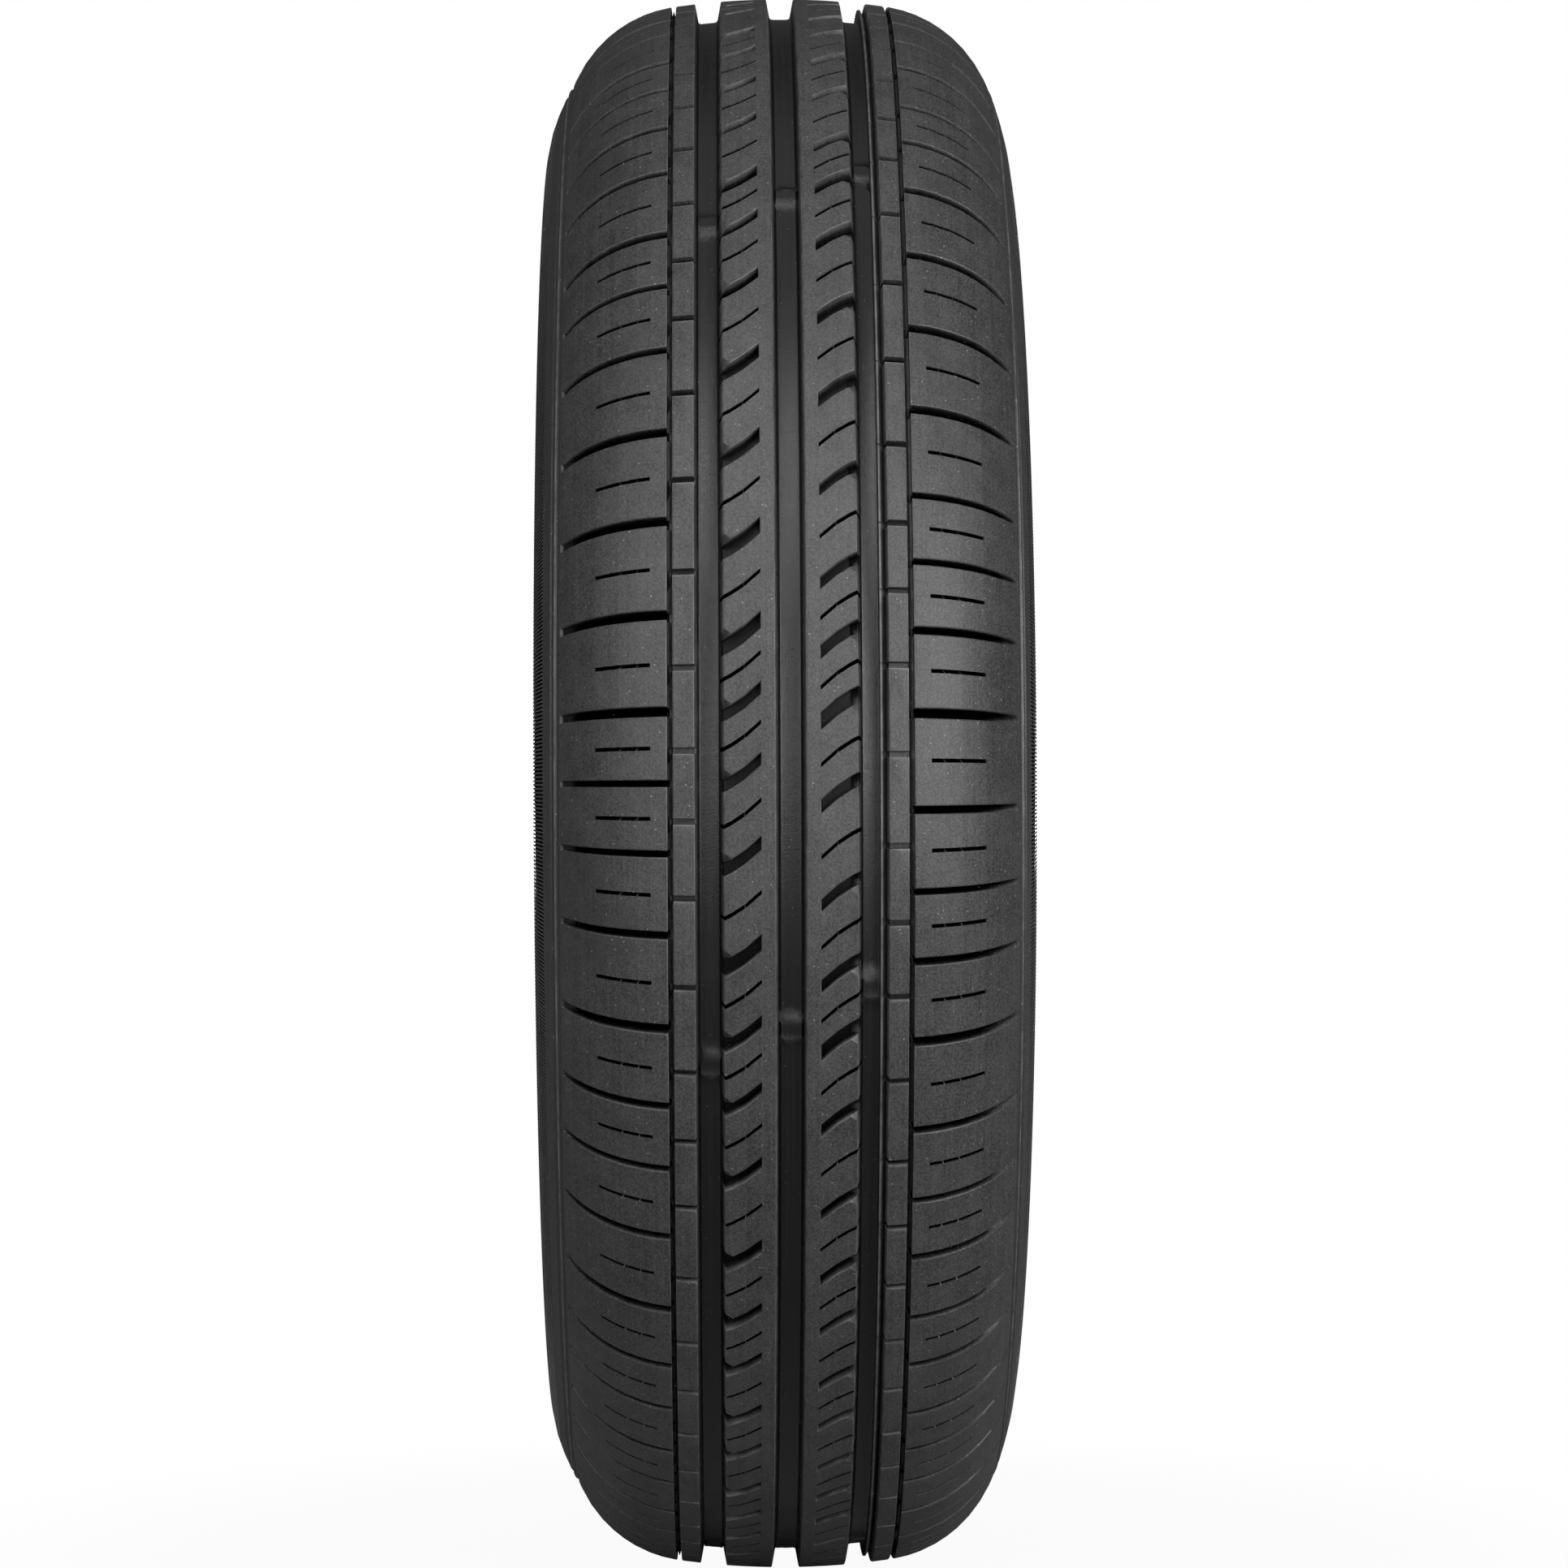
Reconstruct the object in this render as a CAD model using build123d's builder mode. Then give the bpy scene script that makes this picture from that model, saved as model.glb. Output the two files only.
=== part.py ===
from build123d import *
from math import asin, cos, degrees, radians, sin, sqrt, tan
import os

# A passenger-car tyre, size 165/70 R14, moulded in one piece with its tread.
# It turns on the Y axis, its equator lies in the plane Y = 0, and Z is up.
# Sizes are in millimetres and angles in degrees.

# Overall size
outer_diameter = 587.0
section_width = 170.0

# Crown and shoulders of the tread; the crown is flat between the side grooves, where the tyre stands
crown_radius = 280.0
crown_flat = 43.8
tread_width = 151.2
shoulder_drop = 30.5
shoulder_flats = 2

# Sidewalls, with a flat band at the widest between two slopes
# The band's place and height are shares of the section's height, measured from the bead
band_place = 0.479
band_share = 0.293
sidewall_thickness = 6.5

# Beads, which seat on the rim between its flanges
bead_seat_diameter = 354.8
rim_width = 127.0
bead_base_width = 15.0
bead_heel = 5.0
flange_height = 20.0
flange_reach = 5.5
filler_rise = 8.0

# Crown of the casing
crown_thickness = 16.0
liner_width = 104.0

# Grooves that run round the tyre
groove_depth = 7.5
groove_draft = 10.0
centre_groove_width = 10.1
side_groove_width = 9.4
side_groove_place = 26.45
narrow_groove_width = 1.9
narrow_groove_depth = 6.0
narrow_groove_place = 39.05

# Cuts across the shoulders, which start at the narrow grooves and run out above the tread's edge
shoulder_cut_width = 2.3
shoulder_cut_depth = 5.4
shoulder_cut_rise = 3.0

# Pitches: three lengths in a mixed order round the tyre, with the right side shifted along the tread
pitch_ratio = {"S": 0.85, "M": 1.0, "L": 1.18}
pitch_order = (
    "SMLMSMLMSMSMS"
    "SMLMSMLMSMSMSMMLSMLLLS"
    "SMLMSMLMSMSMSMMLSMLLSLS"
    "MMLSMLLLLS"
)
right_shift = -73.3

# Small flat at the foot of the tread, where its soft rubber stands on the floor
stand_flat = 0.6

# Room that a cutting shape has beyond the surface that it cuts
overshoot = 3.0

outer_radius = outer_diameter / 2
bead_radius = bead_seat_diameter / 2
section_height = outer_radius - bead_radius
band_radius = bead_radius + band_place * section_height
band_reach = band_share * section_height / 2


def crown_at(place):
    """Radius of the crown at a distance from the equator."""
    return outer_radius - crown_radius + sqrt(crown_radius**2 - place**2)


def along(distance):
    """Angle about the axis for a distance along the tread."""
    return degrees(distance / outer_radius)


def pitch_places(shift):
    """Places about the axis where the pitches start, in a row that is shifted along the tread."""
    lengths = [pitch_ratio[letter] for letter in pitch_order]
    turn = 360 / sum(lengths)
    starts = [along(shift) + turn * sum(lengths[:index]) for index in range(len(lengths))]
    return [Location((0, 0, 0), (0, start, 0)) for start in starts]


def groove_corners(place, width):
    """Corners of a wide groove's section: walls with draft and a flat floor."""
    top = crown_at(place)
    lean = tan(radians(groove_draft))
    mouth = width / 2 + overshoot * lean
    floor = width / 2 - groove_depth * lean
    return [
        (place - mouth, top + overshoot),
        (place + mouth, top + overshoot),
        (place + floor, top - groove_depth),
        (place - floor, top - groove_depth),
    ]


def narrow_groove_corners(place):
    """Corners of a narrow groove's section, whose walls meet at its foot."""
    top = crown_at(place)
    mouth = narrow_groove_width / 2 * (1 + overshoot / narrow_groove_depth)
    return [
        (place - mouth, top + overshoot),
        (place + mouth, top + overshoot),
        (place, top - narrow_groove_depth),
    ]


groove_sections = [groove_corners(0, centre_groove_width)]
for side in (-1, 1):
    groove_sections.append(groove_corners(side * side_groove_place, side_groove_width))
    groove_sections.append(narrow_groove_corners(side * narrow_groove_place))

# Corners of the section's right half, as distance from the equator and radius
crown_edge = Vector(narrow_groove_place, crown_at(narrow_groove_place))
tread_edge = Vector(tread_width / 2, outer_radius - shoulder_drop)
band_top = Vector(section_width / 2, band_radius + band_reach)
band_foot = Vector(section_width / 2, band_radius - band_reach)
flange_top = Vector(rim_width / 2 + flange_reach, bead_radius + flange_height)
heel_top = Vector(rim_width / 2, bead_radius + bead_heel)
heel_foot = Vector(rim_width / 2 - bead_heel, bead_radius)
toe = Vector(rim_width / 2 - bead_base_width, bead_radius)
liner_foot = band_foot + Vector(-sidewall_thickness, filler_rise)
liner_top = band_top + Vector(-sidewall_thickness, 0)
liner_edge = Vector(liner_width / 2, outer_radius - crown_thickness)
liner_crown = Vector(0, outer_radius - crown_thickness)

# The shoulder's curve runs on from the crown to the tread's edge, and is drawn as a run of flats
crown_slope = asin(narrow_groove_place / crown_radius)
with BuildLine() as shoulder:
    TangentArc(crown_edge, tread_edge, tangent=(cos(crown_slope), -sin(crown_slope)))
shoulder_corners = [shoulder.line @ (step / shoulder_flats) for step in range(shoulder_flats + 1)]

# One cut across the left shoulder, a thin wedge turned about the axis
cut_angle = along(shoulder_cut_width)
with BuildPart() as shoulder_cut:
    with BuildSketch(Plane.XY.rotated((0, -cut_angle / 2, 0))) as cut_section:
        with BuildLine():
            Polyline(
                (crown_edge.Y - shoulder_cut_depth, -crown_edge.X),
                (tread_edge.Y + shoulder_cut_rise, -tread_edge.X),
                (outer_radius + overshoot, -tread_edge.X),
                (outer_radius + overshoot, -crown_edge.X),
                close=True,
            )
        make_face()
    revolve(axis=Axis.Y, revolution_arc=cut_angle)

with BuildPart() as tyre:
    with BuildSketch(Plane.YZ) as section:
        with BuildLine() as half:
            Polyline((0, outer_radius), (crown_flat / 2, outer_radius), crown_edge)
            Polyline(*shoulder_corners)
            Polyline(tread_edge, band_top, band_foot, flange_top, heel_top, heel_foot, toe)
            Polyline(toe, liner_foot, liner_top, liner_edge, liner_crown)
            mirror(about=Plane.YZ)
        make_face()
        for corners in groove_sections:
            with BuildLine():
                Polyline(*corners, close=True)
            make_face(mode=Mode.SUBTRACT)
    revolve(axis=Axis.Y)
    with Locations(*pitch_places(0)):
        add(shoulder_cut.part, mode=Mode.SUBTRACT)
    with Locations(*pitch_places(right_shift)):
        add(shoulder_cut.part, rotation=(180, 0, 0), mode=Mode.SUBTRACT)
    with Locations((0, 0, stand_flat - outer_radius)):
        below = (Align.CENTER, Align.CENTER, Align.MAX)
        Box(outer_diameter, section_width, overshoot, align=below, mode=Mode.SUBTRACT)

tyre.part.label = "tyre"
os.makedirs("parts", exist_ok=True)
export_step(tyre.part, "parts/tyre.step")
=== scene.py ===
"""A passenger-car tyre standing on its tread, seen square to the tread in soft studio light."""

import math

import bpy
import numpy as np
from mathutils import Matrix, Vector


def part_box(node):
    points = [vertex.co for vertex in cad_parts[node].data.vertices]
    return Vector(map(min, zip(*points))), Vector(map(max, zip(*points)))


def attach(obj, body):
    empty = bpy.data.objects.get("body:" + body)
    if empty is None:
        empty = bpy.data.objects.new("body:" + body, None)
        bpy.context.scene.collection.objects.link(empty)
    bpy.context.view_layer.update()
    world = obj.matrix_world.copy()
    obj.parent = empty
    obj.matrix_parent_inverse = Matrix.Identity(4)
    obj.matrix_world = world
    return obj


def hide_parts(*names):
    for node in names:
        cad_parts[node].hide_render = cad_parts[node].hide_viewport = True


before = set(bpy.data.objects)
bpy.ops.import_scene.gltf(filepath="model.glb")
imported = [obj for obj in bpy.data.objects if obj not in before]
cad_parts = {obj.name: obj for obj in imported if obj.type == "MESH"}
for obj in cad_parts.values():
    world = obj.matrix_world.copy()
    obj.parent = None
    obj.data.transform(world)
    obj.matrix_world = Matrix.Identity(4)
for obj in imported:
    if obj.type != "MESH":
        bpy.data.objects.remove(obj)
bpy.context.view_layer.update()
tyre_low, tyre_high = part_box("tyre")

# Lengths of the tyre are in millimetres until a mesh is made, and angles are in degrees
# The tread's top lies a small clearance inside the solid's outer radius
MM = 0.001
clearance = 0.05
outer_radius = tyre_high.z / MM - clearance
half_width = tyre_high.y / MM
round_tread = 2 * math.pi * outer_radius

# Crown and shoulders of the tread
crown_arc = 280.0
crown_end = 39.05
tread_edge = 75.6
shoulder_drop = 30.5
cuts_turn_from = 40.0
cuts_turn_to = 52.0

# Grooves round the tyre: the wide ones have a bevel, a drafted wall, a rounded foot and a flat floor
groove_depth = 7.5
groove_wall_depth = 6.7
groove_round_depth = 7.3
bevel = 0.34
bevel_drop = 0.2
wall_run = 1.2
foot_run = 0.4
round_run = 0.8
centre_groove = 5.05
centre_wall_foot = 3.85
centre_round = 3.3
centre_floor = 2.2
side_groove_in = 21.7
side_groove_out = 31.2
right_groove_out = 31.8
ledge_in = 28.95
ledge_out = 29.55
ledge_depth = 2.4
channel_place = 30.7
channel_depth = 4.6
narrow_groove_in = 38.1
narrow_groove_out = 40.0
narrow_groove_depth = 4.2
narrow_wall_run = 0.2
narrow_foot_rise = 0.3
bridge_height = 2.6

# Pitches: three lengths in a mixed order, with the right side shifted along the tread
pitch_ratio = {"S": 0.85, "M": 1.0, "L": 1.18}
pitch_order = (
    "SMLMSMLMSMSMS"
    "SMLMSMLMSMSMSMMLSMLLLS"
    "SMLMSMLMSMSMSMMLSMLLSLS"
    "MMLSMLLLLS"
)
right_shift = -73.3
right_row_shift = 30

# Notches and sipes of the two centre ribs
notch_width = {"S": 4.2, "M": 4.6, "L": 5.7}
notch_lag = 31.8
notch_end = 9.6
notch_end_land = 0.25
notch_end_wall = 0.2
notch_wall_run = 0.3
notch_depth = 5.2
notch_root = 11.0
notch_slope = 0.939
notch_bend = 0.02225
lip_start = 19.3
lip_reach = 2.9
left_lip_drop = 3.2
right_lip_drop = 1.7
right_lip_rise = 2.2
rib_sipe_lag = 0.4
rib_sipe_width = 1.5
rib_sipe_depth = 5.0
rib_sipe_break = 15.0

# Slots of the narrow ribs, which are placed by shares of the pitch
left_slot_place = 0.535
right_slot_place = 0.435
slot_width = 2.1
slot_depth = 3.2
slot_edge = 1.2

# Cuts and sipes of the shoulders
cut_width = {"S": 2.3, "M": 2.7, "L": 3.3}
cut_edge = 1.15
cut_depth = 6.5
cut_floor_rises = 57.0
cut_run_out = 0.9
left_cut_tilt = 0.0
right_cut_tilt = 0.8
left_cut_end = 75.1
right_cut_end = 74.6
cut_stop = 75.3
curve_columns = (59.6, 67.6, 71.6)
shoulder_sipe_width = 1.35
shoulder_sipe_depth = 4.5
shoulder_sipe_start = 45.7
shoulder_sipe_end = 63.6
sipe_end_wall = 0.3
shoulder_sipe_breaks = (50.0, 55.6)
break_reach = 0.18
break_slope = 0.12
break_sunk = 0.1
break_foot = 2.0

# Rows across a slit, a slot and a shoulder cut, as shares of its width, and the bevels beside the cut
slit_rows = (-0.5, -0.42, 0.42, 0.5)
slot_rows = (-0.5, -0.46, 0.44, 0.5)
cut_rows = (0, 0, 0.2, 0.8, 1, 1)
cut_bevel_rows = (-1, 0, 0, 0, 0, 1)

# Shade: how many times deeper than its floor a slit, slot, cut or notch is painted
cut_shade = 6.0
right_cut_end_shade = 1.0
notch_shade = 2.0
lip_floor_shade = 0.2
lip_shade = 0.3
slot_shade = 2.6
slit_shade = 12.0
break_shade = 0.5

# Wear and painted highlight of edges: the edges that get them, as a range of bevel drops, and how much
# lighter each is painted
wear_highlight_from = 0.5
wear_highlight_to = 1.5
ledge_wear_highlight = 0.85
shoulder_wear_highlight = 0.55

# Wear bars on the groove floors, by the angle of the first one in the centre groove
wear_bar_angle = 16.2
wear_bar_count = 6
wear_bar_length = 13.3
wear_bar_height = 1.4
wear_bar_slope = 3.0
wear_bar_rounding = 1.4
wear_bar_half_width = 3.3
# Share of the painted shade taken off the half of each bar further along the tread, a painted highlight
wear_bar_highlight = 0.6
left_bar_shift = 13.0
right_bar_shift = -14.5

# Casing, which sits a little left of the tread, so that its right side reaches less far
# Corners are distances from the equator and radii, and smooth lines have several points for each corner
left_reach = half_width
right_reach = 82.4
widest_radius = 238.5
sidewall_power = 1.53
lower_power = 2.6
flange_place = 69.0
flange_radius = 197.4
bead_radius = 177.4
crown_thickness = 16.0
liner_radius = outer_radius - crown_thickness
bead_corners = (
    (flange_place - 1.6, flange_radius - 2.0),
    (64.6, 190.0),
    (63.4, 184.0),
    (61.6, 179.4),
    (57.5, bead_radius),
)
toe_corners = (
    (50.0, bead_radius),
    (48.8, bead_radius + 0.5),
    (48.8, bead_radius + 2.2),
)
liner_corners = (
    (51.5, bead_radius + 7.0),
    (63.0, 199.0),
    (75.2, 222.0),
    (77.4, 238.0),
    (74.0, 256.0),
    (62.0, 270.5),
    (44.0, liner_radius - 0.6),
    (22.0, liner_radius),
    (0.0, liner_radius),
)
corner_steps = 2

# Past this share of a half section, in the liner, the casing's rows shift from one edge's rows to the other's
shift_share = 0.7

# Faces that meet at a larger angle than this have a sharp edge
sharp_angle = 26

# Rings round the sidewalls: height below the tread's edge, and how far each stands out or in
# The ridge is the ring that rises close below the tread's edge
wall_rings = (
    (0.5, -0.2),
    (0.9, -0.45),
    (2.3, -0.45),
    (2.6, 0.2),
    (3.0, 0.2),
    (3.3, -0.3),
    (5.3, -0.3),
    (5.6, 0.1),
    (6.2, 0.1),
    (6.5, 0.0),
    (9.0, 0.0),
    (11.4, 0.0),
    (11.8, -1.1),
    (15.0, -1.1),
    (20.0, -1.1),
    (25.0, -1.1),
    (31.6, -1.1),
    (32.0, 0.0),
    (33.4, 0.0),
    (33.7, 0.25),
    (34.4, 0.25),
    (34.7, 0.0),
    (41.0, 0.0),
    (47.0, 0.0),
    (53.0, 0.0),
    (56.8, 0.0),
    (57.2, 0.6),
    (58.2, 0.6),
    (58.6, 0.0),
    (62.0, 0.0),
    (65.6, 0.0),
)
ridge_rise = 0.15
ridge_below = 4

# Fine radial ribs of the sidewalls: places round one rib, and which of them lie in its groove, then radii of
# the ring that carries them, and how far each part of it stands out from the bare sidewall
rib_count = 1200
rib_places = (0.0, 0.42, 0.54, 0.88)
rib_grooved = (0.0, 0.0, 1.0, 1.0)
rib_top = 251.4
rib_upper = 246.0
rib_lower = 239.0
rib_foot = 231.2
rib_end_out = 0.2
rib_end_in = 0.3
rib_land = -0.02
rib_groove = -0.6
rib_end = -1.2
rib_back = -1.6
# Depth of painted shade in the ribs' grooves, and the wear and painted highlight on every rib
rib_shade = 12.0
rib_wear_highlight = 0.35

# Colours of the rubber, with the painted shade of grooves and slits and the wear and painted highlight of
# edges
rubber_dark = (0.018, 0.018, 0.0185, 1)
rubber_light = (0.074, 0.074, 0.075, 1)
wall_colour = (0.03, 0.03, 0.031, 1)
liner_colour = (0.024, 0.024, 0.025, 1)
smudge_colour = (0.022, 0.022, 0.023, 1)
groove_shade_dark = (0.004, 0.004, 0.0042, 1)
groove_shade_light = (0.01, 0.01, 0.0102, 1)
slit_shade_black = (0.0008, 0.0008, 0.0008, 1)
dust_colour = (0.3, 0.3, 0.3, 1)
wear_highlight_colour = (0.2, 0.2, 0.202, 1)

# Patterns on the rubber: how fine each is, and its share of the tone
streaks_round = 3.0
streaks_across = 900.0
grain_scale = 1300.0
cloud_scale = 110.0
patch_scale = 16.0
dust_scale = 480.0
wear_highlight_scale = 160.0
streak_share = 0.6
grain_share = 0.8
cloud_share = 0.7
patch_share = 0.7
tone_base = 0.9
grain_range = (0.35, 0.65)

# Paint of the walls, liner and smudges, and the painted shade of grooves and slits: its share, and the ranges
# over which it sets in
# Places are in metres from the equator, and depths of painted shade in millimetres
wall_share = 0.5
liner_paint = 0.8
smudge_share = 0.4
smudge_places = (0.042, 0.05)
smudge_range = (0.52, 0.66)
deep_shade_range = (1.5, 6.8)
black_shade_range = (7.6, 12.0)
groove_streaks = (0.35, 0.65)

# Dust, and edges with wear and a painted highlight; the highlight's range is that of its pattern, and then
# the shares at its two ends
dust_edge = (0.17, 0.08)
dust_chance = (0.7, 0.85)
dust_share = 0.6
dust_lost_deep = 0.4
edge_falloff = 3.0
wear_highlight_range = (0.3, 0.7, 0.2, 0.8)

# Gloss and fine relief
gloss_share = 0.5
base_roughness = 0.32
gloss_reach = 0.2
deep_gloss_reach = 0.1
deep_smoothness = 0.24
plain_specular = 0.5
relief_streaks = 0.6
relief_grain = 0.4
bump_strength = 0.4
bump_height = 0.0002

# Floor and world, in metres: the floor turns white to the camera and to mirrors away from the tyre
floor_reach = 3.0
floor_paint = (0.3, 0.3, 0.3, 1)
white = (1, 1, 1, 1)
near_white = 0.95
white_range = (0.3, 0.5)
mirror_range = (2.0, 3.6)
world_strength = 0.02
world_gloss = 0.05

# Soft lights, seen from the tyre's middle: angle upwards, angle to the right, distance and size in metres,
# and power in watts
lights = (
    ("top_light", 41, 0, 2.0, 0.9, 12.0),
    ("overhead_light", 84, 0, 1.8, 1.5, 3.0),
    ("front_right_light", 6, 20, 2.2, 0.7, 10),
    ("front_left_light", 6, -20, 2.2, 0.7, 7),
    ("right_light", 14, 45, 2.2, 1.0, 26),
    ("left_light", 22, -45, 2.2, 1.0, 10),
    ("rear_light", 4, 180, 2.2, 0.7, 18),
)

# Camera: its distance in metres, and its view in pixels of the photograph
camera_distance = 1.948
camera_turn = 0.645
camera_roll = 0.216
frame_pixels = 1932
focal_pixels = 6338.9
middle_x = 962.3
middle_y = 965.1
sensor_width = 36.0

# Rows of the tread in a pitch: six across the cut or notch, one in the block, four across the sipe or slot,
# and one more in the block. Below the tread, the casing has one row for several of the tread.
rows_per_pitch = 12
across_cut = slice(0, 6)
upper_edge = 1
cut_floor = slice(2, 4)
lower_floor = 3
lower_edge = 4
block_row = 6
across_slit = slice(7, 11)
slit_floor = slice(8, 10)
slit_upper_floor = 8
slit_lower_floor = 9
slit_lower_edge = 10
last_row = 11
left_bridge_rows = slice(9, 11)
right_bridge_rows = slice(2, 4)
rows_per_casing_row = 6


def eased(value, low, high):
    """Rises smoothly from 0 at low to 1 at high."""
    share = np.clip((value - low) / (high - low), 0, 1)
    return share * share * (3 - 2 * share)


def tread_surface(across):
    """Radius of the bare tread at distances from the equator, and the direction that cuts sink along.

    The crown is an arc about a point on the equator. Past crown_end a smaller arc, tangent to the crown,
    runs on to the tread's edge. Cuts sink straight towards the axis in the crown, and turn square to the
    surface on the shoulders. The direction is given as its part along the axis and along the radius."""
    place = np.abs(across)
    lean = math.asin(crown_end / crown_arc)
    end_radius = outer_radius - crown_arc * (1 - math.cos(lean))
    run = tread_edge - crown_end
    fall = end_radius - (outer_radius - shoulder_drop)
    shoulder_arc = (run**2 + fall**2) / (2 * (fall * math.cos(lean) - run * math.sin(lean)))
    centre_place = crown_end - shoulder_arc * math.sin(lean)
    centre_radius = end_radius - shoulder_arc * math.cos(lean)
    on_crown = np.minimum(place, crown_end)
    past_crown = np.maximum(place, crown_end) - centre_place
    crown = outer_radius - crown_arc + np.sqrt(crown_arc**2 - on_crown**2)
    shoulder = centre_radius + np.sqrt(shoulder_arc**2 - past_crown**2)
    radius = np.where(place <= crown_end, crown, shoulder)
    tilt = np.arcsin(past_crown / shoulder_arc) * eased(place, cuts_turn_from, cuts_turn_to)
    return radius, np.sin(tilt) * np.sign(across), np.cos(tilt)


def half_columns(side):
    """Columns of one half of the tread, from the equator out: zone, distance from the equator, groove depth.

    A groove's wall has a bevel at its mouth, a drafted face, and a rounded foot. On the right the outer wall
    of the side groove has a ledge, with a small channel between it and the rib. Elsewhere columns lie where a
    notch, sipe or cut starts, breaks or ends."""
    if side < 0:
        outer = side_groove_out
        outer_wall = ((outer - wall_run, groove_wall_depth), (outer - wall_run / 2, groove_wall_depth / 2))
    else:
        outer = right_groove_out
        outer_wall = ((ledge_in, ledge_depth), (ledge_out, ledge_depth), (channel_place, channel_depth))
    inner_foot = side_groove_in + wall_run + foot_run
    outer_foot = outer_wall[0][0] - foot_run
    break_ends = np.array([-break_reach - break_slope, -break_reach, break_reach, break_reach + break_slope])
    plain_rib = [
        centre_groove + bevel,
        notch_end - notch_end_land,
        notch_end,
        notch_end + notch_end_wall,
        *(rib_sipe_break + break_ends),
        lip_start,
        side_groove_in - bevel,
    ]
    plain_shoulder = [
        narrow_groove_out + bevel,
        shoulder_sipe_start - sipe_end_wall,
        shoulder_sipe_start,
        *(shoulder_sipe_breaks[0] + break_ends),
        *(shoulder_sipe_breaks[1] + break_ends),
        curve_columns[0],
        shoulder_sipe_end - sipe_end_wall,
        shoulder_sipe_end,
        *curve_columns[1:],
        left_cut_end if side < 0 else right_cut_end,
        cut_stop,
        tread_edge,
    ]
    columns = [
        ("centre floor", centre_floor, groove_depth),
        ("centre floor", centre_round, groove_round_depth),
        ("rib", centre_wall_foot, groove_wall_depth),
        ("rib", centre_groove, bevel_drop),
    ]
    columns += [("rib", place, 0.0) for place in plain_rib]
    columns += [
        ("rib", side_groove_in, bevel_drop),
        ("rib", side_groove_in + wall_run, groove_wall_depth),
        ("side floor", inner_foot, groove_round_depth),
        ("side floor", inner_foot + round_run, groove_depth),
        ("side floor", (side_groove_in + side_groove_out) / 2, groove_depth),
        ("side floor", outer_foot - round_run, groove_depth),
        ("side floor", outer_foot, groove_round_depth),
        *[("narrow rib", place, depth) for place, depth in outer_wall],
        ("narrow rib", outer, bevel_drop),
        ("narrow rib", outer + bevel, 0.0),
        ("narrow rib", narrow_groove_in - bevel, 0.0),
        ("narrow rib", narrow_groove_in, bevel_drop),
        ("narrow rib", narrow_groove_in + narrow_wall_run, narrow_groove_depth - narrow_foot_rise),
        ("narrow floor", (narrow_groove_in + narrow_groove_out) / 2, narrow_groove_depth),
        ("shoulder", narrow_groove_out - narrow_wall_run, narrow_groove_depth - narrow_foot_rise),
        ("shoulder", narrow_groove_out, bevel_drop),
    ]
    columns += [("shoulder", place, 0.0) for place in plain_shoulder]
    zones, places, depths = zip(*columns)
    return np.array(zones), np.array(places), np.array(depths)


def on_break(places):
    """Marks the columns on the small breaks in the sipes."""
    breaks = np.array([rib_sipe_break, *shoulder_sipe_breaks])
    return np.abs(places[:, None] - breaks[None, :]).min(axis=1) < break_reach + break_slope / 2


def next_along(values):
    """The same values one pitch further along, closed round the tyre."""
    return np.append(values[1:], values[0] + round_tread)


def lip_share(places):
    """Share of a notch's lip that is reached at each column, from none at its start to all at the groove."""
    return np.clip((places - lip_start) / (side_groove_in - lip_start), 0, 1)


def pitch_table():
    """Start and length of each pitch along the tread, and the widths of its notch and its cut."""
    lengths = np.array([pitch_ratio[letter] for letter in pitch_order])
    lengths *= round_tread / lengths.sum()
    notches = np.array([notch_width[letter] for letter in pitch_order])
    cuts = np.array([cut_width[letter] for letter in pitch_order])
    return np.cumsum(lengths) - lengths, lengths, notches, cuts


def spread_between(rows):
    """Fills the two rows in the block of each pitch halfway between the rows beside them."""
    rows[:, block_row] = (rows[:, block_row - 1] + rows[:, block_row + 1]) / 2
    following = np.vstack([rows[1:, 0], rows[:1, 0] + round_tread])
    rows[:, last_row] = (rows[:, last_row - 1] + following) / 2
    return rows


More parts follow.
